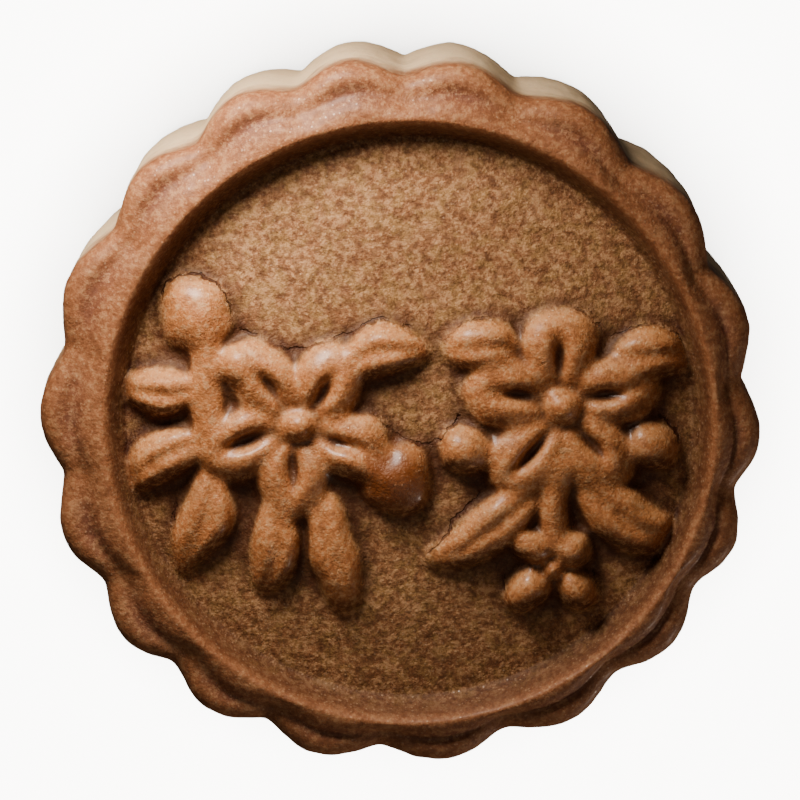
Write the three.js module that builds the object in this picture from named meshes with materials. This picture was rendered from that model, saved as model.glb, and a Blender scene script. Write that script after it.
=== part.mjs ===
// A baked mooncake: a low round pastry pressed in a fluted mould, standing on its flat base.
// The outside is a ring of rounded flutes that bulge a little at mid-height. On top, a smooth
// raised rim runs round a sunken, slightly domed panel, and the panel carries two pressed sprays
// of blossom, leaves and berries. The cake is one closed solid, in millimetres, with +Z up and
// its origin at the centre of its base.
import * as THREE from "three";

// Overall sizes
const HEIGHT = 27;
const FLUTES = 18;
const FLUTE_TURN = THREE.MathUtils.degToRad(-2);

// Wall: radius over the crowns of the flutes, from the base up to the shoulder
const BASE_RADIUS = 32.5;
const BULGE_RADIUS = 32.8;
const BULGE_LEVEL = 0.5;
const SHOULDER_RADIUS = 32.7;
const FLUTE_DEPTH = 1.5;
const SHOULDER_ROUND = 1.6;
const BASE_ROUND = 1.4;
const UNEVEN = 0.25;
const FLUTE_SWAY = 0.03;

// Top: the rim's crest, and the sunken panel inside it
const RIM_RADIUS = 27.9;
const RIM_RIGHT = 0.8;
const RIM_DOWN = 0.4;
const PANEL_RADIUS = 25.8;
const PANEL_SINK = 3.4;
const PANEL_DOME = 2.0;
const LOBE_DROP = 0.8;
const VALLEY_DROP = 0.5;
const DIMPLE_DEPTH = 0.45;

// Relief: its height over the panel, and how sharply two overlapping pieces stay apart
const RELIEF_HEIGHT = 2.4;
const UNION_POWER = 4;
const STEM_RISE = 0.8;
const LEAF_TAPER = 1.3;
const GROOVE_DEPTH = 0.3;
const GROOVE_WIDTH = 0.5;
const PETAL_LONG = 0.78;
const PETAL_WIDE = 0.68;
const CORE_SHARE = 0.38;

// The pattern, in the panel's own X and Y. A turn or heading is in degrees from +X, a blossom's
// reach goes out to the middle of its petals, and a leaf or stem starts at its X and Y.
const BLOSSOMS = [
  { x: -10.4, y: -0.2, reach: 5.2, petals: 5, turn: 54, dent: 0.8 },
  { x: 13.8, y: 1.4, reach: 5.4, petals: 5, turn: 90, dent: 0.8 },
  { x: 13.0, y: -13.6, reach: 2.9, petals: 4, turn: 45, dent: 0 },
];
const LEAVES = [
  { x: -18.2, y: 3.8, heading: 184, length: 9.0, width: 4.8, bend: 0.6 },
  { x: -17.4, y: -0.8, heading: 213, length: 11.8, width: 4.8, bend: -0.8 },
  { x: -18.0, y: -2.6, heading: 256, length: 12.4, width: 5.0, bend: 0.8 },
  { x: -12.2, y: -5.4, heading: 264, length: 11.2, width: 4.8, bend: 0.4 },
  { x: -7.6, y: -5.6, heading: 280, length: 12.6, width: 5.0, bend: -0.6 },
  { x: -6.4, y: 4.8, heading: 14, length: 8.6, width: 5.0, bend: 0.9 },
  { x: 10.8, y: 6.2, heading: 174, length: 8.4, width: 4.8, bend: -0.7 },
  { x: 17.6, y: 6.0, heading: 354, length: 8.0, width: 4.8, bend: 0.8 },
  { x: 12.8, y: -4.4, heading: 216, length: 14.4, width: 5.0, bend: 1.2 },
  { x: 14.8, y: -4.2, heading: 325, length: 14.2, width: 5.0, bend: -1.2 },
];
const BERRIES = [
  { x: -19.4, y: 9.8, radius: 3.6 },
  { x: -1.4, y: -4.8, radius: 3.4 },
  { x: -16.0, y: 5.2, radius: 2.2 },
  { x: 5.4, y: -2.4, radius: 2.6 },
  { x: 22.2, y: -2.0, radius: 2.6 },
];
const STEMS = [
  { x: -19.0, y: 8.6, heading: 276, length: 12.0, width: 3.4 },
  { x: -6.0, y: -2.6, heading: 334, length: 4.2, width: 3.0 },
  { x: 13.6, y: -4.0, heading: 268, length: 7.0, width: 3.2 },
];

// Mesh: a coarse net over the skin, split finer wherever a facet strays from the true form
const COLUMNS = 2 * FLUTES;
const MAX_STRAY = 0.2;
const MAX_PANEL_EDGE = 2.8;
const MIN_EDGE = 1.0;
const MAX_ROUNDS = 12;

const { clamp, degToRad, lerp, smoothstep } = THREE.MathUtils;

// How uneven the cake is all round: a slow, smooth wave of about unit height.
function unevenness(angle) {
  return (
    0.5 * Math.sin(2 * angle + 1.3) +
    0.3 * Math.sin(3 * angle + 2.7) +
    0.2 * Math.sin(5 * angle + 4.8)
  );
}

// 1 on the crown of a flute and 0 in the valley between two; a larger softness rounds the valley.
function fluteWave(angle, softness) {
  const sway = FLUTE_SWAY * Math.sin(3 * angle + 0.7);
  const crest = (1 + Math.cos(FLUTES * (angle + sway - FLUTE_TURN))) / 2;
  const rounded = Math.sqrt(crest + softness ** 2) - softness;
  return rounded / (Math.sqrt(1 + softness ** 2) - softness);
}

// Radius of the wall at a level from 0, on the base, to 1, at the shoulder.
function wallRadius(angle, level) {
  const above = level > BULGE_LEVEL;
  const end = above ? SHOULDER_RADIUS : BASE_RADIUS;
  const away = (level - BULGE_LEVEL) / (above ? 1 - BULGE_LEVEL : BULGE_LEVEL);
  const valley = FLUTE_DEPTH * (1 - fluteWave(angle, lerp(0.06, 0.3, level)));
  return lerp(BULGE_RADIUS, end, away ** 2) - valley + UNEVEN * unevenness(angle);
}

// The round cross-section of every pressed piece: 1 at its middle and 0 at its edge.
function swell(share) {
  return Math.max(0, 1 - share ** 2);
}

// A place on the panel as seen by a piece that stands at its X and Y and points its own way.
function seenFrom({ x, y, heading = 0 }, px, py) {
  const turn = degToRad(heading);
  const along = (px - x) * Math.cos(turn) + (py - y) * Math.sin(turn);
  const across = (py - y) * Math.cos(turn) - (px - x) * Math.sin(turn);
  return [along, across];
}

function berryHeight(berry, px, py) {
  return swell(Math.hypot(px - berry.x, py - berry.y) / berry.radius);
}

// A leaf is a bent oval, pointed at both ends, with a groove down its middle.
function leafHeight(leaf, px, py) {
  const [along, across] = seenFrom(leaf, px, py);
  const share = clamp(along / leaf.length, 0, 1);
  const fullness = 4 * share * (1 - share);
  const off = across - leaf.bend * fullness;
  const inside = fullness ** LEAF_TAPER - (off / (leaf.width / 2)) ** 2;
  const groove = GROOVE_DEPTH * fullness * Math.exp(-((off / GROOVE_WIDTH) ** 2));
  return Math.max(0, inside) ** 0.8 - groove;
}

function stemHeight(stem, px, py) {
  const [along, across] = seenFrom(stem, px, py);
  const past = along - clamp(along, 0, stem.length);
  return STEM_RISE * swell(Math.hypot(past, across) / (stem.width / 2));
}

// A petal is a plump oval with a dent in its middle.
function petalHeight(blossom, heading, px, py) {
  const x = blossom.x + blossom.reach * Math.cos(degToRad(heading));
  const y = blossom.y + blossom.reach * Math.sin(degToRad(heading));
  const [along, across] = seenFrom({ x, y, heading }, px, py);
  const long = along / (PETAL_LONG * blossom.reach);
  const wide = across / (PETAL_WIDE * blossom.reach);
  const dent = Math.exp(-(((long + 0.2) / 0.5) ** 2) - (wide / 0.18) ** 2);
  return swell(Math.hypot(long, wide)) - blossom.dent * dent;
}

function blossomHeights(blossom, px, py) {
  const core = { ...blossom, radius: CORE_SHARE * blossom.reach };
  const heights = [berryHeight(core, px, py)];
  for (let n = 0; n < blossom.petals; n++) {
    const heading = blossom.turn + (360 * n) / blossom.petals;
    heights.push(petalHeight(blossom, heading, px, py));
  }
  return heights;
}

// Height of the whole pattern over the panel, where overlapping pieces run smoothly together.
function reliefHeight(px, py) {
  const heights = [
    ...BLOSSOMS.flatMap((blossom) => blossomHeights(blossom, px, py)),
    ...LEAVES.map((leaf) => leafHeight(leaf, px, py)),
    ...BERRIES.map((berry) => berryHeight(berry, px, py)),
    ...STEMS.map((stem) => stemHeight(stem, px, py)),
  ];
  const sum = heights.reduce((s, h) => s + Math.max(0, h) ** UNION_POWER, 0);
  return RELIEF_HEIGHT * sum ** (1 / UNION_POWER);
}

// The panel and the inner slope of the rim, out to the rim's crest.
function panelPoint(distance, angle) {
  const px = distance * Math.cos(angle);
  const py = distance * Math.sin(angle);
  const dome = PANEL_DOME * (1 - Math.min(1, distance / PANEL_RADIUS) ** 2);
  const fade = 1 - smoothstep(distance, PANEL_RADIUS - 1, RIM_RADIUS - 1);
  const panel = HEIGHT - PANEL_SINK + dome + fade * reliefHeight(px, py);
  const slope = smoothstep(distance, PANEL_RADIUS, RIM_RADIUS);
  return [px + RIM_RIGHT, py - RIM_DOWN, lerp(panel, HEIGHT, slope)];
}

// From the rim's crest, at a share of 0, out over the dimpled flutes to a share of 1.
function lobePoint(share, angle) {
  const edge = wallRadius(angle, 1) - SHOULDER_ROUND;
  const x = lerp(RIM_RADIUS * Math.cos(angle) + RIM_RIGHT, edge * Math.cos(angle), share);
  const y = lerp(RIM_RADIUS * Math.sin(angle) - RIM_DOWN, edge * Math.sin(angle), share);
  const wave = fluteWave(angle, 0.3);
  const drop = LOBE_DROP + VALLEY_DROP * (1 - wave);
  const dimple = DIMPLE_DEPTH * wave * Math.exp(-(((share - 0.7) / 0.2) ** 2));
  return [x, y, HEIGHT - drop * smoothstep(share, 0, 1) - dimple];
}

// The wall at a level, drawn in by an inset and lifted, as it is round its two edges.
function wallPoint(level, angle, inset, lift) {
  const shoulder = lobePoint(1, angle)[2] - SHOULDER_ROUND;
  const radius = wallRadius(angle, level) - inset;
  const z = lerp(BASE_ROUND, shoulder, level) + lift;
  return [radius * Math.cos(angle), radius * Math.sin(angle), z];
}

// The skin's stretches, from the middle of the top down to the edge of the flat base. Each one
// takes a share from 0 to 1, and the next one goes on where it ends.
const STRETCHES = [
  (share, angle) => panelPoint(share * PANEL_RADIUS, angle),
  (share, angle) => panelPoint(lerp(PANEL_RADIUS, RIM_RADIUS, share), angle),
  lobePoint,
  (share, angle) => {
    const bend = (Math.PI / 2) * share;
    const inset = SHOULDER_ROUND * (1 - Math.sin(bend));
    return wallPoint(1, angle, inset, SHOULDER_ROUND * Math.cos(bend));
  },
  (share, angle) => wallPoint(1 - share, angle, 0, 0),
  (share, angle) => {
    const bend = (Math.PI / 2) * share;
    const inset = BASE_ROUND * (1 - Math.cos(bend));
    return wallPoint(0, angle, inset, -BASE_ROUND * Math.sin(bend));
  },
];

// A point of the skin at a station, whose whole part picks the stretch.
function skinPoint(station, angle) {
  const stretch = Math.min(STRETCHES.length - 1, Math.floor(station));
  const point = STRETCHES[stretch](station - stretch, angle);
  return { station, angle, place: new THREE.Vector3(...point) };
}

// A point of the skin between two others, going the short way round the cake.
function between(a, b, share) {
  const fullTurn = 2 * Math.PI;
  const gap = b.angle - a.angle;
  const turn = gap - fullTurn * Math.round(gap / fullTurn);
  const station = lerp(a.station, b.station, share);
  if (a.station === 0) return skinPoint(station, b.angle);
  if (b.station === 0) return skinPoint(station, a.angle);
  return skinPoint(station, a.angle + share * turn);
}

// Whether the straight edge between two points is too far from the skin under it.
function isRough(a, b) {
  const length = a.place.distanceTo(b.place);
  const onPanel = a.station <= 1 && b.station <= 1;
  if (onPanel && length > MAX_PANEL_EDGE) return true;
  if (length < MIN_EDGE) return false;
  const edge = new THREE.Line3(a.place, b.place);
  const nearest = new THREE.Vector3();
  return [0.25, 0.5, 0.75].some((share) => {
    const { place } = between(a, b, share);
    edge.closestPointToPoint(place, true, nearest);
    return nearest.distanceTo(place) > MAX_STRAY;
  });
}

// The coarse net: a point in the middle of the top, and rings of points from there outwards.
function coarseNet() {
  const stations = [];
  for (let station = 0.2; station < 1; station += 0.2) stations.push(station);
  for (let station = 1; station <= STRETCHES.length; station++) stations.push(station);
  const points = [skinPoint(0, 0)];
  for (const station of stations) {
    for (let n = 0; n < COLUMNS; n++) {
      points.push(skinPoint(station, FLUTE_TURN + (2 * Math.PI * n) / COLUMNS));
    }
  }
  const faces = [];
  for (let n = 0; n < COLUMNS; n++) {
    const next = (n + 1) % COLUMNS;
    faces.push([0, 1 + n, 1 + next]);
    for (let ring = 0; ring < stations.length - 1; ring++) {
      const inner = 1 + ring * COLUMNS;
      const outer = inner + COLUMNS;
      faces.push([inner + n, outer + n, outer + next]);
      faces.push([inner + n, outer + next, inner + next]);
    }
  }
  return { points, faces };
}

// One round of splitting. A face with a rough edge is cut in two across its longest edge, and
// its halves once more at any other cut edge, so that neighbours always share whole edges.
function splitOnce({ points, faces }) {
  const nameOf = (a, b) => (a < b ? `${a},${b}` : `${b},${a}`);
  const lengthOf = (a, b) => points[a].place.distanceTo(points[b].place);
  const turned = faces.map(([a, b, c]) => {
    const sides = [lengthOf(a, b), lengthOf(b, c), lengthOf(c, a)];
    const longest = sides.indexOf(Math.max(...sides));
    return [[a, b, c], [b, c, a], [c, a, b]][longest];
  });
  const sidesOf = ([a, b, c]) => [[a, b], [b, c], [c, a]];

  const cuts = new Map();
  const seen = new Set();
  for (const side of turned.flatMap(sidesOf)) {
    const name = nameOf(...side);
    if (seen.has(name)) continue;
    seen.add(name);
    if (isRough(points[side[0]], points[side[1]])) cuts.set(name, side);
  }
  for (let grew = cuts.size > 0; grew; ) {
    grew = false;
    for (const face of turned) {
      const [longest, ...others] = sidesOf(face);
      const name = nameOf(...longest);
      if (cuts.has(name) || !others.some((side) => cuts.has(nameOf(...side)))) continue;
      cuts.set(name, longest);
      grew = true;
    }
  }

  const middles = new Map();
  for (const [name, [a, b]] of cuts) {
    middles.set(name, points.push(between(points[a], points[b], 0.5)) - 1);
  }
  const split = [];
  for (const [a, b, c] of turned) {
    const cut = middles.get(nameOf(a, b));
    if (cut === undefined) {
      split.push([a, b, c]);
      continue;
    }
    const right = middles.get(nameOf(b, c));
    const left = middles.get(nameOf(c, a));
    if (right === undefined) split.push([cut, b, c]);
    else split.push([cut, b, right], [cut, right, c]);
    if (left === undefined) split.push([a, cut, c]);
    else split.push([a, cut, left], [left, cut, c]);
  }
  return { points, faces: split, done: cuts.size === 0 };
}

// The flat base: a fan from its middle to every edge of the net that has a face on one side only.
function closeBase({ points, faces }) {
  const open = new Map();
  for (const [a, b, c] of faces) {
    for (const [from, to] of [[a, b], [b, c], [c, a]]) {
      if (!open.delete(`${to},${from}`)) open.set(`${from},${to}`, [from, to]);
    }
  }
  const middle = points.push({ place: new THREE.Vector3() }) - 1;
  for (const [from, to] of open.values()) faces.push([to, from, middle]);
}

function cakeGeometry() {
  let net = coarseNet();
  for (let round = 0; round < MAX_ROUNDS && !net.done; round++) net = splitOnce(net);
  closeBase(net);
  const geometry = new THREE.BufferGeometry();
  geometry.setFromPoints(net.points.map((point) => point.place));
  geometry.setIndex(net.faces.flat());
  geometry.computeBoundingBox();
  const middle = geometry.boundingBox.getCenter(new THREE.Vector3());
  geometry.translate(-middle.x, -middle.y, 0);
  geometry.computeVertexNormals();
  return geometry;
}

const crust = new THREE.MeshStandardMaterial({
  color: 0xa8704a,
  roughness: 0.55,
  metalness: 0,
});
const mooncake = new THREE.Mesh(cakeGeometry(), crust);
mooncake.name = "mooncake";

const part = new THREE.Group();
part.add(mooncake);
export default part;
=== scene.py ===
"""A baked mooncake on a pale studio floor.

The cake's skin is one surface worked out from named sizes: a sunken panel with two pressed
sprays of blossom, a smooth raised rim, dimpled flutes and a paler fluted wall. Sizes in the
property groups are in metres. The shape functions work in millimetres.
"""

import math

import bpy
import numpy as np
from bpy.props import FloatProperty, FloatVectorProperty, IntProperty, PointerProperty
from mathutils import Matrix, Vector, noise


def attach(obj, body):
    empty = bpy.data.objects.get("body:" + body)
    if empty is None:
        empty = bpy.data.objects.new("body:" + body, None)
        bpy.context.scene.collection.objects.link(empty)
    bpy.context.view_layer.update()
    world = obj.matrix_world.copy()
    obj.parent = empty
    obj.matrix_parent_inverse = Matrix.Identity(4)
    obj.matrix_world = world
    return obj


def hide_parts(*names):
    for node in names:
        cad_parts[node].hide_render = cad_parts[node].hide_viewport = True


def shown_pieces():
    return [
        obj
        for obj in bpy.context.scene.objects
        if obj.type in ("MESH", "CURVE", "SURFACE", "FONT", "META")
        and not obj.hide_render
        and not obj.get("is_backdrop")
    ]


bl_info = {
    "name": "Mooncake",
    "version": (1, 0, 0),
    "blender": (4, 5, 0),
    "location": "View3D > Sidebar > Mooncake",
    "description": "Builds a baked mooncake with a pressed top, its crust and its stage",
    "category": "Object",
}

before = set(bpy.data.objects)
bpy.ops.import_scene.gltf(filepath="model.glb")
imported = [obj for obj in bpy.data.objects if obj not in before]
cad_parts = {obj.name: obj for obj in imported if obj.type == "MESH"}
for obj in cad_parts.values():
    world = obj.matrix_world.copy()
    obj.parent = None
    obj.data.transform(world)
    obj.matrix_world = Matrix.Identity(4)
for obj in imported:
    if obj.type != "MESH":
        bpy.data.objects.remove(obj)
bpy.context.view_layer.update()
NODE = "mooncake"
MM = 0.001

# The pattern, in millimetres on the panel. A turn or heading is in degrees from +X, a blossom's
# reach goes out to the middle of its petals, and a leaf or stem starts at its x and y.
BLOSSOMS = (
    {"x": -10.4, "y": -0.2, "reach": 5.2, "petals": 5, "turn": 54, "dent": 0.8},
    {"x": 13.8, "y": 1.4, "reach": 5.4, "petals": 5, "turn": 90, "dent": 0.8},
    {"x": 13.0, "y": -13.6, "reach": 2.9, "petals": 4, "turn": 45, "dent": 0.0},
)
LEAVES = (
    {"x": -18.2, "y": 3.8, "heading": 184, "length": 9.0, "width": 4.8, "bend": 0.6},
    {"x": -17.4, "y": -0.8, "heading": 213, "length": 11.8, "width": 4.8, "bend": -0.8},
    {"x": -18.0, "y": -2.6, "heading": 256, "length": 12.4, "width": 5.0, "bend": 0.8},
    {"x": -12.2, "y": -5.4, "heading": 264, "length": 11.2, "width": 4.8, "bend": 0.4},
    {"x": -7.6, "y": -5.6, "heading": 280, "length": 12.6, "width": 5.0, "bend": -0.6},
    {"x": -6.4, "y": 4.8, "heading": 14, "length": 8.6, "width": 5.0, "bend": 0.9},
    {"x": 10.8, "y": 6.2, "heading": 174, "length": 8.4, "width": 4.8, "bend": -0.7},
    {"x": 17.6, "y": 6.0, "heading": 354, "length": 8.0, "width": 4.8, "bend": 0.8},
    {"x": 12.8, "y": -4.4, "heading": 216, "length": 14.4, "width": 5.0, "bend": 1.2},
    {"x": 14.8, "y": -4.2, "heading": 325, "length": 14.2, "width": 5.0, "bend": -1.2},
)
BERRIES = (
    {"x": -19.4, "y": 9.8, "radius": 3.6},
    {"x": -1.4, "y": -4.8, "radius": 3.4},
    {"x": -16.0, "y": 5.2, "radius": 2.2},
    {"x": 5.4, "y": -2.4, "radius": 2.6},
    {"x": 22.2, "y": -2.0, "radius": 2.6},
)
STEMS = (
    {"x": -19.0, "y": 8.6, "heading": 276, "length": 12.0, "width": 3.4},
    {"x": -6.0, "y": -2.6, "heading": 334, "length": 4.2, "width": 3.0},
    {"x": 13.6, "y": -4.0, "heading": 268, "length": 7.0, "width": 3.2},
)
OILY_BERRY = BERRIES[1]


# ---------------------------------------------------------------- sizes and colours


def length(name, description, millimetres):
    return FloatProperty(
        name=name,
        description=description,
        default=millimetres * MM,
        min=0.0,
        precision=4,
        unit="LENGTH",
    )


def colour(name, description, red, green, blue):
    """A colour given as the 0 to 255 values that a paint chart states."""
    linear = [((c / 255 + 0.055) / 1.055) ** 2.4 for c in (red, green, blue)]
    return FloatVectorProperty(
        name=name,
        description=description,
        default=linear,
        size=3,
        min=0.0,
        max=1.0,
        subtype="COLOR",
    )


class MooncakeShape(bpy.types.PropertyGroup):
    height: length("Height", "Base to the crest of the rim", 27.0)
    base_radius: length("Base radius", "Over the flutes at the base", 32.5)
    bulge_radius: length("Bulge radius", "Over the flutes at mid-height", 32.8)
    shoulder_radius: length("Shoulder radius", "Over the flutes at the shoulder", 32.7)
    flute_depth: length("Flute depth", "From a flute's crown to its valley", 1.5)
    shoulder_round: length("Shoulder rounding", "Radius of the flutes' top edge", 1.6)
    base_round: length("Base rounding", "Radius of the edge round the base", 1.4)
    rim_radius: length("Rim radius", "Where the rim's inner slope ends", 27.9)
    rim_right: length("Rim to the right", "How far right of the cake's middle the rim sits", 0.8)
    rim_down: length("Rim down", "How far below the cake's middle the rim sits", 0.4)
    panel_radius: length("Panel radius", "Radius of the sunken panel", 25.8)
    panel_sink: length("Panel sink", "From the rim's crest down to the panel's edge", 3.4)
    panel_dome: length("Panel dome", "Rise of the panel from its edge to its middle", 2.0)
    relief_height: length("Relief height", "Height of the pressed pattern", 2.4)
    relief_softness: length("Relief softness", "How far the pattern's edges are blurred", 0.3)
    lobe_drop: length("Lobe drop", "Fall from the rim's crest to the shoulder", 0.8)
    valley_drop: length("Valley drop", "Further fall in the valley between flutes", 0.5)
    dimple_depth: length("Dimple depth", "Depth of the dimple on each flute's top", 0.45)
    lump_height: length("Lump height", "Height of the slow lumps in the crust", 0.16)
    flutes: IntProperty(
        name="Flutes",
        description="Number of flutes round the cake",
        default=18,
        min=6,
        max=40,
    )
    flute_turn: FloatProperty(
        name="Flute turn",
        description="Where the first flute's crown stands",
        default=math.radians(-2),
        subtype="ANGLE",
    )


class MooncakeCrust(bpy.types.PropertyGroup):
    panel: colour("Panel", "Crust on the bare panel", 134, 90, 56)
    speck: colour("Speck", "Pale grains in the panel", 190, 142, 98)
    ochre: colour("Ochre", "Yellower patches of the panel", 156, 118, 66)
    # Painted highlight: a golden tone laid on the pattern's upper sides, which face the key light.
    painted_sheen: colour("Sheen", "Golden upper sides of the pattern", 212, 150, 92)
    # Painted highlight: small bright glints laid as colour, standing in for sparkles.
    glint: colour("Glint", "Scattered sugary specks", 226, 184, 140)
    rim: colour("Rim", "Crust on the rim and the flutes' tops", 144, 90, 56)
    # Dimple spots: partly browning and partly painted shade in each dimple's hollow.
    spot: colour("Spot", "Darker dimples on the flutes' tops", 98, 56, 44)
    wall: colour("Wall", "Pale crust of the wall", 238, 204, 158)
    base: colour("Base", "Browned underside", 150, 98, 58)
    relief: colour("Relief", "Glazed crust of the pressed pattern", 180, 110, 60)
    # Laid as oily crust, dark crumbs and cracks, and also as painted shade in the pattern's gaps,
    # on its lower flanks, on the rim's inner slope and in the flute valleys.
    crease: colour("Crease", "Oily crust in creases and gaps", 58, 26, 14)
    amber: colour("Amber", "Oil-soaked berry", 104, 50, 16)
    roughness: FloatProperty(
        name="Roughness",
        description="Roughness of the dry crust",
        default=0.56,
        min=0.0,
        max=1.0,
        subtype="FACTOR",
    )
    oil: FloatProperty(
        name="Oil",
        description="How oily the rim and the pattern look",
        default=0.45,
        min=0.0,
        max=1.0,
        subtype="FACTOR",
    )
    grain: length("Grain size", "Size of the crumbs in the crust", 0.4)
    grain_height: length("Grain height", "Height of the crumbs in the crust", 0.07)


class MooncakeStage(bpy.types.PropertyGroup):
    floor_colour: colour("Floor", "Pale floor", 236, 233, 228)
    floor_size: length("Floor size", "Side of the square floor", 3000.0)
    backdrop_radius: length("Backdrop radius", "Where the backdrop leaves the floor", 1200.0)
    backdrop_height: length("Backdrop height", "Rise of the backdrop round the floor", 1400.0)
    camera_distance: length("Camera distance", "From the cake's top to the camera", 330.0)
    frame_width: length("Frame width", "Width of the view at the cake's top", 72.3)
    camera_aim: length("Camera aim", "How far off the cake's middle the camera looks", 2.0)
    camera_tilt: FloatProperty(
        name="Camera tilt",
        description="How far the camera leans over from straight above",
        default=math.radians(10.6),
        subtype="ANGLE",
    )
    key_power: FloatProperty(
        name="Key power",
        description="Power of the key light on the cake",
        default=0.05,
        min=0.0,
        unit="POWER",
    )
    side_power: FloatProperty(
        name="Side power",
        description="Power of the low soft light on the cake's shaded side",
        default=0.85,
        min=0.0,
        unit="POWER",
    )
    fill_power: FloatProperty(
        name="Fill power",
        description="Power of the soft fill light on the cake",
        default=0.26,
        min=0.0,
        unit="POWER",
    )
    floor_power: FloatProperty(
        name="Floor power",
        description="Power of the soft overhead light on the floor",
        default=360.0,
        min=0.0,
        unit="POWER",
    )
    world_strength: FloatProperty(
        name="Room light",
        description="Strength of the even light of the room",
        default=0.05,
        min=0.0,
    )


# ---------------------------------------------------------------- shape of the skin


def lerp(low, high, share):
    return low + (high - low) * share


def smoothstep(value, low, high):
    share = np.clip((value - low) / (high - low), 0.0, 1.0)
    return share * share * (3.0 - 2.0 * share)


class Pattern:
    """The pressed pattern's height and creases over the panel, on a fine square chart."""

    STEP = 0.1
    REACH = 30.0
    UNION_POWER = 4
    STEM_RISE = 0.8
    LEAF_TAPER = 1.3
    GROOVE_DEPTH = 0.3
    GROOVE_WIDTH = 0.5
    PETAL_LONG = 0.78
    PETAL_WIDE = 0.68
    CORE_SHARE = 0.38
    WARP_DEPTH = 0.5
    CREASE_REACH = 1.4
    ROUNDNESS = 0.6
    HOLLOW_PLACE = -0.2
    HOLLOW_LONG = 0.5
    HOLLOW_WIDE = 0.18

    def __init__(self, height, softness):
        self.axis = np.arange(-self.REACH, self.REACH + self.STEP / 2, self.STEP)
        straight_x, straight_y = np.meshgrid(self.axis, self.axis, indexing="ij")
        self.x = straight_x + self.warp(straight_x, straight_y, 1.0)
        self.y = straight_y + self.warp(straight_y, straight_x, 4.0)
        pieces = [self.leaf(**leaf) for leaf in LEAVES]
        pieces += [self.berry(**berry) for berry in BERRIES]
        pieces += [self.stem(**stem) for stem in STEMS]
        for blossom in BLOSSOMS:
            pieces += self.blossom(**blossom)
        total = sum(np.maximum(0.0, piece) ** self.UNION_POWER for piece in pieces)
        sharp = total ** (1 / self.UNION_POWER)
        soft = self.blur(sharp, softness)
        self.height = height * soft
        self.cover = soft
        self.crease = self.blur(sharp, self.CREASE_REACH) - soft
        slope = np.gradient(self.blur(sharp, 2 * softness), self.STEP, axis=1)
        self.upper = np.maximum(0.0, -slope)
        self.lower = np.maximum(0.0, slope)

    def warp(self, along, across, start):
        """A hand-pressed pattern's outlines wander a little off their true course."""
        return self.WARP_DEPTH * (
            0.6 * np.sin(0.45 * across + 0.3 * along + start)
            + 0.25 * np.sin(1.1 * across - 0.8 * along + 2.0 * start)
        )

    def seen_from(self, x, y, heading):
        """How far along and across the heading each place lies from x and y."""
        turn = math.radians(heading)
        right = self.x - x
        up = self.y - y
        along = right * math.cos(turn) + up * math.sin(turn)
        across = up * math.cos(turn) - right * math.sin(turn)
        return along, across

    def berry(self, x, y, radius):
        return self.swell(np.hypot(self.x - x, self.y - y) / radius)

    def leaf(self, x, y, heading, length, width, bend):
        """A bent oval, pointed at both ends, with a groove down its middle."""
        along, across = self.seen_from(x, y, heading)
        share = np.clip(along / length, 0.0, 1.0)
        fullness = 4.0 * share * (1.0 - share)
        off = across - bend * fullness
        inside = fullness**self.LEAF_TAPER - (off / (width / 2)) ** 2
        groove = self.GROOVE_DEPTH * fullness * np.exp(-((off / self.GROOVE_WIDTH) ** 2))
        return np.maximum(0.0, inside) ** self.ROUNDNESS - groove

    def stem(self, x, y, heading, length, width):
        along, across = self.seen_from(x, y, heading)
        past = along - np.clip(along, 0.0, length)
        return self.STEM_RISE * self.swell(np.hypot(past, across) / (width / 2))

    def petal(self, x, y, heading, reach, dent):
        """A plump oval with a dent in its middle."""
        along, across = self.seen_from(x, y, heading)
        long = along / (self.PETAL_LONG * reach)
        wide = across / (self.PETAL_WIDE * reach)
        off_long = (long - self.HOLLOW_PLACE) / self.HOLLOW_LONG
        off_wide = wide / self.HOLLOW_WIDE
        hollow = dent * np.exp(-(off_long**2) - off_wide**2)
        return self.swell(np.hypot(long, wide)) - hollow

    def blossom(self, x, y, reach, petals, turn, dent):
        pieces = [self.berry(x, y, self.CORE_SHARE * reach)]
        for number in range(petals):
            heading = turn + 360.0 * number / petals
            middle_x = x + reach * math.cos(math.radians(heading))
            middle_y = y + reach * math.sin(math.radians(heading))
            pieces.append(self.petal(middle_x, middle_y, heading, reach, dent))
        return pieces

    def swell(self, share):
        """The round cross-section of a piece: 1 at its middle and 0 at its edge."""
        return np.maximum(0.0, 1.0 - share**2) ** self.ROUNDNESS

    def blur(self, chart, width):
        """The chart with a soft round brush of this width drawn over it."""
        gap = (self.axis[:, None] - self.axis[None, :]) / width
        brush = np.exp(-0.5 * gap**2)
        brush /= brush.sum(axis=1, keepdims=True)
        return brush @ chart @ brush.T

    def read(self, chart, x, y):
        """The chart's value at places between its own."""
        last = len(self.axis) - 2
        column = np.clip((x + self.REACH) / self.STEP, 0.0, last + 0.999)
        row = np.clip((y + self.REACH) / self.STEP, 0.0, last + 0.999)
        i = column.astype(int)
        j = row.astype(int)
        u = column - i
        v = row - j
        low = lerp(chart[i, j], chart[i + 1, j], u)
        high = lerp(chart[i, j + 1], chart[i + 1, j + 1], u)
        return lerp(low, high, v)


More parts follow.
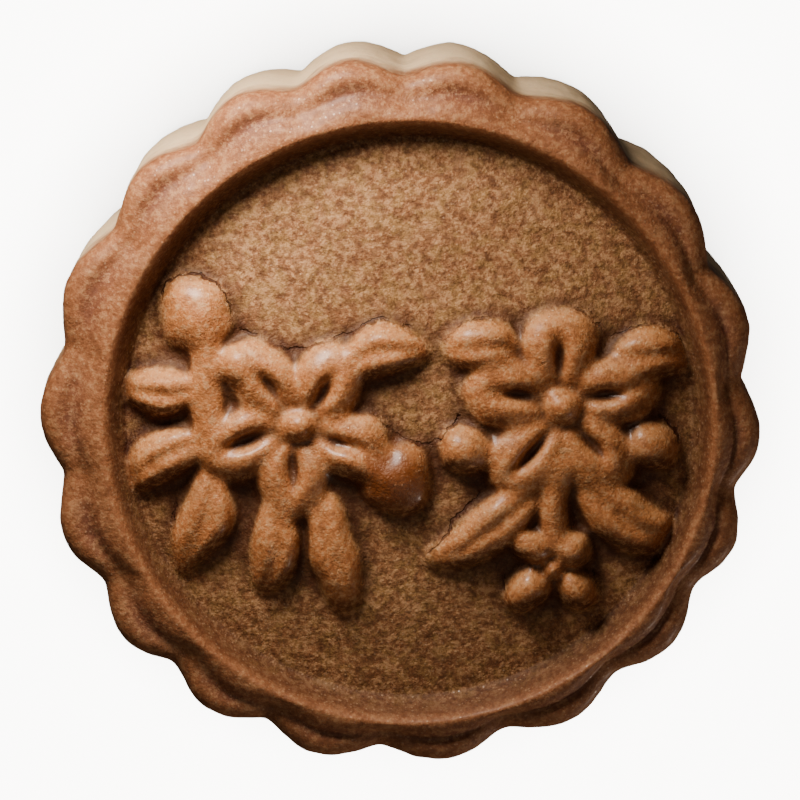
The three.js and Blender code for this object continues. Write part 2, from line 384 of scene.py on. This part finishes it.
class Skin:
    """The cake's whole surface.

    A station runs from 0 in the middle of the top to 7 in the middle of the base, and its whole
    part tells which stretch of the skin it lies on.
    """

    PANEL, SLOPE, LOBE, SHOULDER, WALL, FOOT, UNDERSIDE = range(7)
    BULGE_LEVEL = 0.5
    UNEVEN = 0.25
    FLUTE_SWAY = 0.03
    FOOT_SOFTNESS = 0.06
    CREST_SOFTNESS = 0.3
    DIMPLE_PLACE = 0.7
    DIMPLE_REACH = 0.2
    # Each row is a share of the lump height, the lumps' size in millimetres and a seed.
    LUMPS = ((0.8, 7.0, 3.1), (0.5, 2.2, 8.4), (0.4, 1.1, 5.2))

    def __init__(self, shape):
        lengths = [name for name in shape.__annotations__ if name not in ("flutes", "flute_turn")]
        for name in lengths:
            setattr(self, name, getattr(shape, name) / MM)
        self.flutes = shape.flutes
        self.flute_turn = shape.flute_turn
        self.pattern = Pattern(self.relief_height, self.relief_softness)

    def unevenness(self, angle):
        """A slow, smooth wave of about unit height round the cake."""
        return (
            0.5 * np.sin(2 * angle + 1.3)
            + 0.3 * np.sin(3 * angle + 2.7)
            + 0.2 * np.sin(5 * angle + 4.8)
        )

    def flute_wave(self, angle, softness):
        """1 on the crown of a flute and 0 in a valley, which a larger softness rounds."""
        sway = self.FLUTE_SWAY * np.sin(3 * angle + 0.7)
        crest = (1.0 + np.cos(self.flutes * (angle + sway - self.flute_turn))) / 2
        rounded = np.sqrt(crest + softness**2) - softness
        return rounded / (np.sqrt(1.0 + softness**2) - softness)

    def wall_radius(self, angle, level):
        """Radius of the wall at a level from 0, on the base, to 1, at the shoulder."""
        above = level > self.BULGE_LEVEL
        end = np.where(above, self.shoulder_radius, self.base_radius)
        away = (level - self.BULGE_LEVEL) / (1.0 - self.BULGE_LEVEL)
        softness = lerp(self.FOOT_SOFTNESS, self.CREST_SOFTNESS, level)
        valley = self.flute_depth * (1.0 - self.flute_wave(angle, softness))
        crown = lerp(self.bulge_radius, end, away**2)
        return crown - valley + self.UNEVEN * self.unevenness(angle)

    def panel_place(self, distance, angle):
        """The panel and the rim's inner slope, out to the rim's crest."""
        x = distance * np.cos(angle)
        y = distance * np.sin(angle)
        inner = np.minimum(1.0, distance / self.panel_radius)
        fade = 1.0 - smoothstep(distance, self.panel_radius - 1, self.rim_radius - 1)
        relief = fade * self.pattern.read(self.pattern.height, x, y)
        panel = self.height - self.panel_sink + self.panel_dome * (1.0 - inner**2) + relief
        slope = smoothstep(distance, self.panel_radius, self.rim_radius)
        return x + self.rim_right, y - self.rim_down, lerp(panel, self.height, slope)

    def lobe_place(self, share, angle):
        """From the rim's crest, at a share of 0, out over the dimpled flutes to 1."""
        edge = self.wall_radius(angle, 1.0) - self.shoulder_round
        crest_x = self.rim_radius * np.cos(angle) + self.rim_right
        crest_y = self.rim_radius * np.sin(angle) - self.rim_down
        x = lerp(crest_x, edge * np.cos(angle), share)
        y = lerp(crest_y, edge * np.sin(angle), share)
        wave = self.flute_wave(angle, self.CREST_SOFTNESS)
        drop = self.lobe_drop + self.valley_drop * (1.0 - wave)
        off = (share - self.DIMPLE_PLACE) / self.DIMPLE_REACH
        dimple = self.dimple_depth * wave * np.exp(-(off**2))
        return x, y, self.height - drop * smoothstep(share, 0.0, 1.0) - dimple

    def wall_place(self, level, angle, inset, lift):
        """The wall, drawn in by an inset and lifted, as it is round its two edges."""
        shoulder = self.lobe_place(np.ones_like(angle), angle)[2] - self.shoulder_round
        radius = self.wall_radius(angle, level) - inset
        z = lerp(self.base_round, shoulder, level) + lift
        return radius * np.cos(angle), radius * np.sin(angle), z

    def places(self, station, angle):
        """Places of the skin, one row of x, y and z for each station and angle."""
        one = np.ones_like(station)
        whole = np.minimum(np.floor(station), self.UNDERSIDE)
        share = station - whole
        quarter = share * math.pi / 2
        foot = self.wall_place(0 * one, angle, self.base_round, -self.base_round)
        stretches = (
            self.panel_place(share * self.panel_radius, angle),
            self.panel_place(lerp(self.panel_radius, self.rim_radius, share), angle),
            self.lobe_place(share, angle),
            self.wall_place(
                one,
                angle,
                self.shoulder_round * (1.0 - np.sin(quarter)),
                self.shoulder_round * np.cos(quarter),
            ),
            self.wall_place(1.0 - share, angle, 0.0, 0.0),
            self.wall_place(
                0 * one,
                angle,
                self.base_round * (1.0 - np.cos(quarter)),
                -self.base_round * np.sin(quarter),
            ),
            (foot[0] * (1.0 - share), foot[1] * (1.0 - share), foot[2]),
        )
        chosen = [whole == number for number in range(len(stretches))]
        return np.stack(
            [np.select(chosen, [stretch[axis] for stretch in stretches]) for axis in range(3)],
            axis=1,
        )


class Net:
    """A net of four-sided faces over the skin.

    Ring number n of the top has 8 n points, so the faces are all about as large, and the wall
    goes on from the outermost ring.
    """

    TOP_STOPS = ((80, Skin.PANEL), (14, Skin.SLOPE), (14, Skin.LOBE))
    WALL_STOPS = ((8, Skin.SHOULDER), (20, Skin.WALL), (5, Skin.FOOT), (4, Skin.UNDERSIDE))

    def __init__(self):
        ring_station = self.stations(self.TOP_STOPS)
        count = len(ring_station) - 1
        axis = np.arange(-count, count + 1)
        i, j = (grid.ravel() for grid in np.meshgrid(axis, axis, indexing="ij"))
        ring = np.maximum(abs(i), abs(j))
        self.station = ring_station[ring]
        self.angle = self.ring_angle(i, j, ring)

        side = len(axis)
        cell = (np.arange(side - 1)[:, None] * side + np.arange(side - 1)).ravel()
        top = np.stack([cell, cell + side, cell + side + 1, cell + 1], axis=1)
        self.faces = [tuple(face) for face in top.tolist()]

        edge = np.nonzero(ring == count)[0]
        edge = edge[np.argsort(self.angle[edge] % (2 * math.pi))]
        angles = self.angle[edge]
        above = edge
        for station in self.stations(self.WALL_STOPS)[1:-1]:
            here = len(self.station) + np.arange(len(edge))
            self.station = np.concatenate([self.station, np.full(len(edge), station)])
            self.angle = np.concatenate([self.angle, angles])
            strip = np.stack([above, here, np.roll(here, -1), np.roll(above, -1)], axis=1)
            self.faces += [tuple(face) for face in strip.tolist()]
            above = here
        pole = len(self.station)
        self.station = np.append(self.station, Skin.UNDERSIDE + 1.0)
        self.angle = np.append(self.angle, 0.0)
        self.faces += [(int(a), pole, int(b)) for a, b in zip(above, np.roll(above, -1))]

    def stations(self, stops):
        """Stations of all rings of these stretches, with the given number in each stretch."""
        rows = [np.array([float(stops[0][1])])]
        for count, stretch in stops:
            rows.append(stretch + np.arange(1, count + 1) / count)
        return np.concatenate(rows)

    def ring_angle(self, i, j, ring):
        """Angle of a point of a square grid once its squares are drawn out into rings."""
        eighth = math.pi / 4
        safe = np.maximum(ring, 1)
        return np.select(
            [i == ring, j == ring, i == -ring],
            [
                eighth * j / safe,
                2 * eighth - eighth * i / safe,
                4 * eighth - eighth * j / safe,
            ],
            -2 * eighth + eighth * i / safe,
        )


def lumps(places, size, seed):
    """Smooth noise between about -1 and 1 at every place, with lumps of the given size."""
    start = Vector((seed, 2.3 * seed, 0.7 * seed))
    return np.array([noise.noise(Vector(place) / size + start) for place in places.tolist()])


# ---------------------------------------------------------------- material nodes


class Value:
    """A node's output socket, so that sums and products on it add their own Math nodes."""

    def __init__(self, paint, socket):
        self.paint = paint
        self.socket = socket

    def maths(self, operation, *terms):
        return self.paint.add(
            "ShaderNodeMath",
            {"operation": operation},
            dict(enumerate(terms)),
        )

    def __add__(self, other):
        return self.maths("ADD", self, other)

    def __sub__(self, other):
        return self.maths("SUBTRACT", self, other)

    def __rsub__(self, other):
        return self.maths("SUBTRACT", other, self)

    def __mul__(self, other):
        return self.maths("MULTIPLY", self, other)

    __radd__ = __add__
    __rmul__ = __mul__

    def distance(self):
        """How far the number is from 0."""
        return self.maths("ABSOLUTE", self)

    def step(self, low, high):
        """0 up to the low value and 1 from the high one, with a smooth step between them."""
        return self.paint.add(
            "ShaderNodeMapRange",
            {"interpolation_type": "SMOOTHSTEP", "clamp": True},
            {"Value": self, "From Min": low, "From Max": high, "To Min": 0.0, "To Max": 1.0},
        )

    def clipped(self):
        return self.paint.add("ShaderNodeClamp", {}, {"Value": self, "Min": 0.0, "Max": 1.0})


class Paint:
    """The nodes of one material."""

    def __init__(self, name):
        self.material = bpy.data.materials.new(name)
        self.material.use_nodes = True
        self.tree = self.material.node_tree
        self.tree.nodes.clear()
        self.place = self.add("ShaderNodeTexCoord", {}, {}, "Object")

    def add(self, kind, settings, inputs, output=0):
        """A new node with its settings, then with the values or links of its sockets."""
        node = self.tree.nodes.new(kind)
        for name, setting in settings.items():
            setattr(node, name, setting)
        for name, value in inputs.items():
            socket = self.socket(node.inputs, name)
            if isinstance(value, Value):
                self.tree.links.new(value.socket, socket)
            else:
                socket.default_value = value
        return Value(self, self.socket(node.outputs, output)) if node.outputs else None

    def socket(self, sockets, name):
        """A socket by its number, its identifier or its name."""
        if isinstance(name, int):
            return sockets[name]
        for socket in sockets:
            if name == socket.identifier:
                return socket
        return sockets[name]

    def mix(self, colour_a, colour_b, factor):
        inputs = {"Factor_Float": factor, "A_Color": colour_a, "B_Color": colour_b}
        return self.add(
            "ShaderNodeMix",
            {"data_type": "RGBA", "clamp_factor": True},
            inputs,
            "Result_Color",
        )

    def attribute(self, name):
        return self.add("ShaderNodeAttribute", {"attribute_name": name}, {}, "Fac")

    def noise(self, size, detail=2.0, roughness=0.5, stretch=None):
        """Noise from 0 to 1 with features of the given size in metres."""
        place = self.place
        if stretch:
            place = self.add("ShaderNodeMapping", {}, {"Vector": place, "Scale": stretch})
        return self.add(
            "ShaderNodeTexNoise",
            {},
            {"Vector": place, "Scale": 1.0 / size, "Detail": detail, "Roughness": roughness},
        )

    def cells(self, size, output="Distance"):
        """Distance from 0 to about 1 to the nearest of many scattered points, or its colour."""
        return self.add(
            "ShaderNodeTexVoronoi",
            {"feature": "F1"},
            {"Vector": self.place, "Scale": 1.0 / size, "Randomness": 1.0},
            output,
        )

    def bump(self, height, distance, strength=1.0):
        return self.add(
            "ShaderNodeBump",
            {},
            {"Height": height, "Distance": distance, "Strength": strength},
        )

    def finish(self, inputs):
        """The shader itself and the material's output."""
        shader = self.add("ShaderNodeBsdfPrincipled", {}, inputs)
        self.add("ShaderNodeOutputMaterial", {}, {"Surface": shader})
        return self.material


def opaque(tone):
    return (*tone, 1.0)


class CrustPaint(Paint):
    """Baked crust: a grainy panel, a smooth satin rim and pattern, and a pale dry wall."""

    FACTS = ("station", "relief", "crease", "upper", "lower", "spot", "valley", "amber")

    # Between which stations one kind of crust goes over into the next; SLOPE_START and SLOPE_END
    # bound the painted shade on the rim's inner slope.
    SLOPE_START = (0.93, 1.1)
    SLOPE_END = (1.55, 1.9)
    RIM_START = (1.25, 1.75)
    WALL_START = (3.95, 4.3)
    BASE_START = (4.75, 6.0)

    HUE_SIZE = 1.5 * MM
    MOTTLE_SIZE = 2.2 * MM
    WOBBLE_SIZE = 3.2 * MM
    PATCH_SIZE = 9.0 * MM
    STREAK_SIZE = 0.9 * MM
    STREAK_SQUEEZE = (1.0, 1.0, 0.2)

    RELIEF_EDGE = (0.12, 0.5)
    CRACK_LEVEL = 0.26
    CRACK_WIDTH = (0.008, 0.03)

    REFRACTION = 1.45
    SHINE = 0.35
    SHINE_TINT = (1.0, 0.82, 0.64, 1.0)
    OIL_ROUGHNESS = 0.25
    GLOW = 0.06
    GLOW_TINT = (1.0, 0.4, 0.15)
    GLOW_DEPTH = 1.6 * MM

    def __init__(self, crust):
        super().__init__("crust")
        self.crust = crust
        for name in self.FACTS:
            setattr(self, name, self.attribute(name))

        self.crumb = 1.0 - self.cells(crust.grain)
        self.facet = self.cells(crust.grain, "Color")
        self.shade = self.noise(1.6 * crust.grain, 4.0, 0.75)
        self.fine = self.noise(0.5 * crust.grain, 2.0, 0.6)
        self.hue = self.noise(self.HUE_SIZE, 2.0, 0.6)
        self.mottle = self.noise(self.MOTTLE_SIZE, 3.0, 0.65)
        self.patches = self.noise(self.PATCH_SIZE, 3.0, 0.55)
        self.wobble = self.noise(self.WOBBLE_SIZE, 2.0) - 0.5

        self.on_rim = (self.station + (self.fine - 0.5) * 0.3).step(*self.RIM_START)
        self.on_wall = (self.station + self.wobble * 0.35).step(*self.WALL_START)
        self.on_base = (self.station + self.wobble * 0.5).step(*self.BASE_START)
        self.on_relief = self.relief.step(*self.RELIEF_EDGE)
        self.grainy = 1.0 - self.on_rim * 0.45 - self.on_wall * 0.4
        self.crack = self.broken_cracks()
        self.glint = self.painted_highlight_specks()
        self.oily = self.oily_places()

    def broken_cracks(self):
        """Thin cracks along the upper edges of the pattern, with gaps in them."""
        off_line = self.crease + self.relief - self.CRACK_LEVEL + (self.mottle - 0.5) * 0.3
        line = 1.0 - off_line.distance().step(*self.CRACK_WIDTH)
        line = line * self.upper.step(0.03, 0.12)
        line = line * (1.0 - self.on_relief) * (1.0 - self.on_rim)
        return line * self.patches.step(0.42, 0.55)

    def painted_highlight_specks(self):
        """Specks of painted highlight standing in for sparkles, which are also glossier, few of
        them in the creases and none on the wall.
        """
        specks = self.crumb.step(0.66, 0.9) * self.facet.step(0.46, 0.62)
        return specks * (1.0 - self.on_wall) * (1.0 - self.crease.step(0.02, 0.16) * 0.85)

    def oily_places(self):
        """The pattern, the oily berry and, more faintly, the rim and the creases."""
        rim = self.on_rim * (1.0 - self.on_wall) * 0.2
        oily = self.on_relief * 0.9 + rim + self.crease.step(0.02, 0.3) * 0.1
        return (oily * self.patches.step(0.32, 0.6) + self.amber).clipped()

    def lay(self, tone, name, share):
        """One of the crust's colours laid over a tone, as thickly as the share says."""
        return self.mix(tone, opaque(getattr(self.crust, name)), share)

    def baked(self):
        """The tones of the panel, the pattern, the rim, the wall and the base, with painted
        highlight and painted shade on the pattern's sides and dimple spots that are partly painted
        shade.
        """
        tone = opaque(self.crust.panel)
        tone = self.lay(tone, "ochre", self.hue.step(0.46, 0.62) * 0.45)
        tone = self.lay(tone, "rim", (1.0 - self.hue.step(0.36, 0.5)) * 0.35)
        tone = self.lay(tone, "relief", self.on_relief * 0.8)
        # Painted highlight on the pattern's upper sides, which face the key light.
        tone = self.lay(tone, "painted_sheen", self.upper.step(0.03, 0.4) * self.on_relief * 0.4)
        # Painted shade on the pattern's lower flanks, which face away from the key light.
        flank = self.lower.step(0.04, 0.4) * self.relief.step(0.05, 0.4)
        tone = self.lay(tone, "crease", flank * 0.78)
        tone = self.lay(tone, "rim", self.on_rim)
        # The dimple spots, partly browning and partly painted shade in the hollows.
        spot = (self.spot * self.mottle.step(0.2, 0.56)).clipped()
        tone = self.lay(tone, "spot", spot * 0.8)
        tone = self.lay(tone, "wall", self.on_wall)
        return self.lay(tone, "base", self.on_base)

    def crumbed(self, tone):
        """A tone with pale and dark crumbs, and with slower blotches."""
        pale = self.shade.step(0.5, 0.6) * self.grainy
        tone = self.lay(tone, "speck", pale * 0.65)
        dark = (1.0 - self.shade.step(0.38, 0.5)) * self.grainy
        tone = self.lay(tone, "crease", dark * (0.55 - self.on_relief * 0.2))
        tone = self.lay(tone, "speck", self.mottle.step(0.5, 0.75) * 0.25)
        blotch = (1.0 - self.mottle.step(0.3, 0.48)) * self.grainy
        tone = self.lay(tone, "crease", blotch * (0.3 - self.on_relief * 0.1))
        return self.lay(tone, "crease", self.patches.step(0.5, 0.8) * 0.2)

    def oiled(self, tone):
        """A tone with dark creases that are partly oil and partly painted shade, painted shade on
        the rim's inner slope and in the flute valleys, the cracks, the oily berry and painted
        glints.
        """
        ragged = self.station + (self.fine - 0.5) * 0.25
        slope = ragged.step(*self.SLOPE_START) * (1.0 - ragged.step(*self.SLOPE_END))
        # Painted shade: the gaps between the pattern's pieces (partly oil too), the rim's inner
        # slope and the flute valleys on the rim are darkened.
        dark = self.crease.step(0.03, 0.24) + slope * 0.72 + self.valley * self.on_rim * 0.1
        tone = self.lay(tone, "crease", (dark * 0.85).clipped())
        tone = self.lay(tone, "crease", self.crack * 0.9)
        tone = self.lay(tone, "amber", self.amber * 0.85)
        # Painted glints, brighter on the upper sides that face the key light.
        return self.lay(tone, "glint", self.glint * (self.upper.step(0.0, 0.4) * 0.3 + 0.22))

    def roughness(self):
        return self.crust.roughness - self.oily * 0.16 - self.glint * 0.32 + self.on_wall * 0.12

    def grain(self):
        """The fine relief of crumbs, cracks and the wall's upright streaks."""
        coarse = 1.0 - self.on_rim * 0.3 - self.on_wall * 0.5
        crumbs = (self.crumb * 0.6 + self.fine * 1.2 + self.shade * 0.8) * coarse
        streaks = self.noise(self.STREAK_SIZE, 2.0, 0.5, self.STREAK_SQUEEZE)
        streaks = streaks * self.on_wall * 0.8
        skin = crumbs + self.mottle * 0.7 * self.grainy - self.crack * 3.0 + streaks
        return self.bump(skin, self.crust.grain_height)

    def painted(self):
        return self.finish(
            {
                "Base Color": self.oiled(self.crumbed(self.baked())),
                "Roughness": self.roughness(),
                "Coat Weight": (self.oily * self.crust.oil + self.glint * 0.35).clipped(),
                "Coat Roughness": self.OIL_ROUGHNESS,
                "Coat IOR": self.REFRACTION,
                "IOR": self.REFRACTION,
                "Specular IOR Level": self.SHINE,
                "Specular Tint": self.SHINE_TINT,
                "Subsurface Weight": self.GLOW,
                "Subsurface Radius": self.GLOW_TINT,
                "Subsurface Scale": self.GLOW_DEPTH,
                "Normal": self.grain(),
            }
        )


def floor_material(tone):
    paint = Paint("floor")
    return paint.finish({"Base Color": opaque(tone), "Roughness": 0.9})


# ---------------------------------------------------------------- operators


class MOONCAKE_OT_cake(bpy.types.Operator):
    """Build the cake: one closed skin with its pressed top and its crust"""

    bl_idname = "mooncake.cake"
    bl_label = "Build the cake"

    SPOT_REACH = 0.3
    OIL_EDGE = (0.5, 1.25)
    PATTERN_END = (0.97, 1.6)
    FOOT_END = Skin.FOOT + 0.6

    def execute(self, context):
        scene = context.scene
        skin = Skin(scene.mooncake_shape)
        net = Net()
        places = skin.places(net.station, net.angle)
        facts = self.facts(skin, net, places)
        places = self.roughened(skin, net, places)
        low = places.min(axis=0)
        high = places.max(axis=0)
        places[:, :2] -= (low[:2] + high[:2]) / 2

        mesh = bpy.data.meshes.new("mooncake_skin")
        mesh.from_pydata((places * MM).tolist(), [], net.faces)
        mesh.shade_smooth()
        for name, values in facts.items():
            layer = mesh.attributes.new(name, "FLOAT", "POINT")
            layer.data.foreach_set("value", np.ascontiguousarray(values, dtype=np.float32))
        mesh.materials.append(CrustPaint(scene.mooncake_crust).painted())
        if mesh.validate(verbose=False):
            raise RuntimeError("the cake's skin has broken faces")

        cake = bpy.data.objects.new("mooncake_cake", mesh)
        scene.collection.objects.link(cake)
        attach(cake, "root")
        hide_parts(NODE)
        return {"FINISHED"}

    def facts(self, skin, net, places):
        """What the crust's nodes need to know about every point of the skin."""
        x = places[:, 0] - skin.rim_right
        y = places[:, 1] + skin.rim_down
        on_top = net.station <= Skin.LOBE
        wave = skin.flute_wave(net.angle, skin.CREST_SOFTNESS)
        on_lobe = np.clip(net.station - Skin.LOBE, 0.0, 1.2)
        from_berry = np.hypot(x - OILY_BERRY["x"], y - OILY_BERRY["y"]) / OILY_BERRY["radius"]
        pattern = skin.pattern
        fade = on_top * (1.0 - smoothstep(net.station, *self.PATTERN_END))
        return {
            "station": net.station,
            "relief": fade * pattern.read(pattern.cover, x, y),
            "crease": fade * np.maximum(0.0, pattern.read(pattern.crease, x, y)),
            # upper and lower mark the pattern's sides facing +Y and -Y; they carry the painted
            # highlight and painted shade, and upper also places the cracks.
            "upper": fade * pattern.read(pattern.upper, x, y),
            "lower": fade * pattern.read(pattern.lower, x, y),
            "spot": wave * np.exp(-(((on_lobe - skin.DIMPLE_PLACE) / self.SPOT_REACH) ** 2)),
            "valley": 1.0 - wave,
            "amber": on_top * (1.0 - smoothstep(from_berry, *self.OIL_EDGE)),
        }

    def roughened(self, skin, net, places):
        """The skin pushed in and out by the slow lumps of a hand-pressed cake."""
        height = skin.lump_height * sum(
            share * lumps(places, size, seed) for share, size, seed in skin.LUMPS
        )
        over_edge = smoothstep(net.station, Skin.SHOULDER, Skin.WALL)
        upright = 1.0 - over_edge
        sideways = over_edge * (1.0 - smoothstep(net.station, Skin.FOOT, self.FOOT_END))
        out = np.stack([np.cos(net.angle), np.sin(net.angle), np.zeros(len(places))], axis=1)
        up = np.array([0.0, 0.0, 1.0])
        return places + height[:, None] * (upright[:, None] * up + sideways[:, None] * out)


class MOONCAKE_OT_stage(bpy.types.Operator):
    """Set the pale floor and its backdrop, the studio lights and the camera"""

    bl_idname = "mooncake.stage"
    bl_label = "Set the stage"

    # Headings, rises and the spread are in degrees, places and aims in metres, and the key
    # light's distance and the sizes of the lights and the sensor in millimetres.
    KEY_HEADING = 114.0
    KEY_RISE = 25.0
    KEY_DISTANCE = 84.0
    KEY_SIZE = 40.0
    KEY_SPREAD = 90.0
    KEY_AIM = (-0.018, 0.022, 0.0)
    KEY_TINT = (1.0, 0.93, 0.86)
    FILL_PLACE = (0.06, -0.24, 0.45)
    FILL_SIZE = 500.0
    FILL_TINT = (1.0, 0.86, 0.72)
    SIDE_PLACE = (0.42, -0.42, 0.035)
    SIDE_SIZE = 80.0
    SIDE_TINT = (1.0, 0.88, 0.76)
    OVERHEAD_PLACE = (0.0, 0.0, 1.6)
    OVERHEAD_SIZE = 1200.0
    WHITE = (1.0, 1.0, 1.0)
    ROOM_TINT = (1.0, 0.96, 0.92, 1.0)
    SENSOR_WIDTH = 36.0
    SEAM = 0.4 * MM
    BEND_STEPS = 16
    BACKDROP_SIDES = 96

    def execute(self, context):
        scene = context.scene
        settings = scene.mooncake_stage
        paint = floor_material(settings.floor_colour)
        floor = self.add_floor(settings, paint)
        backdrop = self.add_backdrop(settings, paint)
        ground = self.receivers("floor_only", floor, backdrop)
        cake = self.receivers("cake_only", *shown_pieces())
        top = Vector((0.0, 0.0, scene.mooncake_shape.height))
        self.add_camera(scene, settings, top + Vector((0.0, settings.camera_aim, 0.0)))

        key = top + self.toward(self.KEY_HEADING, self.KEY_RISE) * self.KEY_DISTANCE * MM
        lamp = self.add_light("key", key, settings.key_power, self.KEY_SIZE, self.KEY_TINT, cake)
        lamp.data.spread = math.radians(self.KEY_SPREAD)
        self.turn(lamp, top + Vector(self.KEY_AIM))
        power = settings.fill_power
        self.add_light("fill", self.FILL_PLACE, power, self.FILL_SIZE, self.FILL_TINT, cake)
        power = settings.side_power
        self.add_light("side", self.SIDE_PLACE, power, self.SIDE_SIZE, self.SIDE_TINT, cake)
        power = settings.floor_power
        self.add_light("floor", self.OVERHEAD_PLACE, power, self.OVERHEAD_SIZE, self.WHITE, ground)

        world = bpy.data.worlds.new("room")
        world.use_nodes = True
        background = world.node_tree.nodes["Background"]
        background.inputs["Color"].default_value = self.ROOM_TINT
        background.inputs["Strength"].default_value = settings.world_strength
        scene.world = world
        return {"FINISHED"}

    def toward(self, heading, rise):
        """The direction of a heading from +X and a rise above the floor, both in degrees."""
        around = math.radians(heading)
        up = math.radians(rise)
        flat = math.cos(up)
        return Vector((flat * math.cos(around), flat * math.sin(around), math.sin(up)))

    def receivers(self, name, *objects):
        """The only objects that a light falls on."""
        collection = bpy.data.collections.new(name)
        for item in objects:
            collection.objects.link(item)
        return collection

    def add_ground(self, name, points, faces, paint):
        """A piece of the stage that shows, and whose bounced light doesn't reach the cake."""
        mesh = bpy.data.meshes.new(name)
        mesh.from_pydata(points, [], faces)
        mesh.shade_smooth()
        mesh.materials.append(paint)
        ground = bpy.data.objects.new(name, mesh)
        bpy.context.scene.collection.objects.link(ground)
        ground.visible_diffuse = False
        ground.visible_glossy = False
        ground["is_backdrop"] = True
        return ground

    def add_floor(self, settings, paint):
        half = settings.floor_size / 2
        corners = [(-half, -half, 0.0), (half, -half, 0.0), (half, half, 0.0), (-half, half, 0.0)]
        return self.add_ground("floor", corners, [(0, 1, 2, 3)], paint)

    def add_backdrop(self, settings, paint):
        """A round wall that curves up out of the floor, far enough off for any view."""
        radius = settings.backdrop_radius
        rise = settings.backdrop_height
        bend = rise / 2
        profile = [(radius, self.SEAM)]
        for step in range(1, self.BEND_STEPS + 1):
            turn = math.pi / 2 * step / self.BEND_STEPS
            profile.append((radius + bend * math.sin(turn), bend * (1.0 - math.cos(turn))))
        profile.append((radius + bend, rise))

        rings = len(profile)
        points = []
        faces = []
        for side in range(self.BACKDROP_SIDES):
            angle = 2 * math.pi * side / self.BACKDROP_SIDES
            points += [(r * math.cos(angle), r * math.sin(angle), z) for r, z in profile]
            here = side * rings
            there = (side + 1) % self.BACKDROP_SIDES * rings
            for low in range(rings - 1):
                high = low + 1
                faces.append((here + low, here + high, there + high, there + low))
        backdrop = self.add_ground("backdrop", points, faces, paint)
        backdrop.visible_shadow = False
        return backdrop

    def add_light(self, name, place, power, size, tint, receivers):
        """A round soft light, of a size in millimetres, that faces the cake."""
        light = bpy.data.lights.new(name, "AREA")
        light.shape = "DISK"
        light.size = size * MM
        light.energy = power
        light.color = tint
        lamp = bpy.data.objects.new(name, light)
        lamp.location = place
        self.turn(lamp, Vector())
        lamp.light_linking.receiver_collection = receivers
        bpy.context.scene.collection.objects.link(lamp)
        return lamp

    def turn(self, lamp, target):
        """Turn a light so that it faces the target."""
        away = target - lamp.location
        lamp.rotation_euler = away.to_track_quat("-Z", "Y").to_euler()

    def add_camera(self, scene, settings, target):
        """A camera almost straight above, leaning towards +Y, with +Y up in its view."""
        tilt = settings.camera_tilt
        lens = bpy.data.cameras.new("camera")
        lens.sensor_width = self.SENSOR_WIDTH
        lens.lens = lens.sensor_width * settings.camera_distance / settings.frame_width
        lens.clip_start = 0.01
        lens.clip_end = 10.0
        camera = bpy.data.objects.new("camera", lens)
        away = Vector((0.0, math.sin(tilt), math.cos(tilt)))
        place = Matrix.Translation(target + away * settings.camera_distance)
        camera.matrix_world = place @ Matrix.Rotation(-tilt, 4, "X")
        scene.collection.objects.link(camera)
        scene.camera = camera


class MOONCAKE_PT_panel(bpy.types.Panel):
    """The operators in the sidebar"""

    bl_idname = "MOONCAKE_PT_panel"
    bl_label = "Mooncake"
    bl_space_type = "VIEW_3D"
    bl_region_type = "UI"
    bl_category = "Mooncake"

    def draw(self, context):
        column = self.layout.column()
        for operator in OPERATORS:
            column.operator(operator.bl_idname)


OPERATORS = (MOONCAKE_OT_cake, MOONCAKE_OT_stage)
SETTINGS = {
    "mooncake_shape": MooncakeShape,
    "mooncake_crust": MooncakeCrust,
    "mooncake_stage": MooncakeStage,
}


def register():
    for cls in (*SETTINGS.values(), *OPERATORS, MOONCAKE_PT_panel):
        bpy.utils.register_class(cls)
    for name, cls in SETTINGS.items():
        setattr(bpy.types.Scene, name, PointerProperty(type=cls))


def unregister():
    for name in SETTINGS:
        delattr(bpy.types.Scene, name)
    for cls in (MOONCAKE_PT_panel, *reversed(OPERATORS), *SETTINGS.values()):
        bpy.utils.unregister_class(cls)


def main():
    register()
    bpy.ops.mooncake.cake()
    bpy.ops.mooncake.stage()


if __name__ == "__main__":
    main()
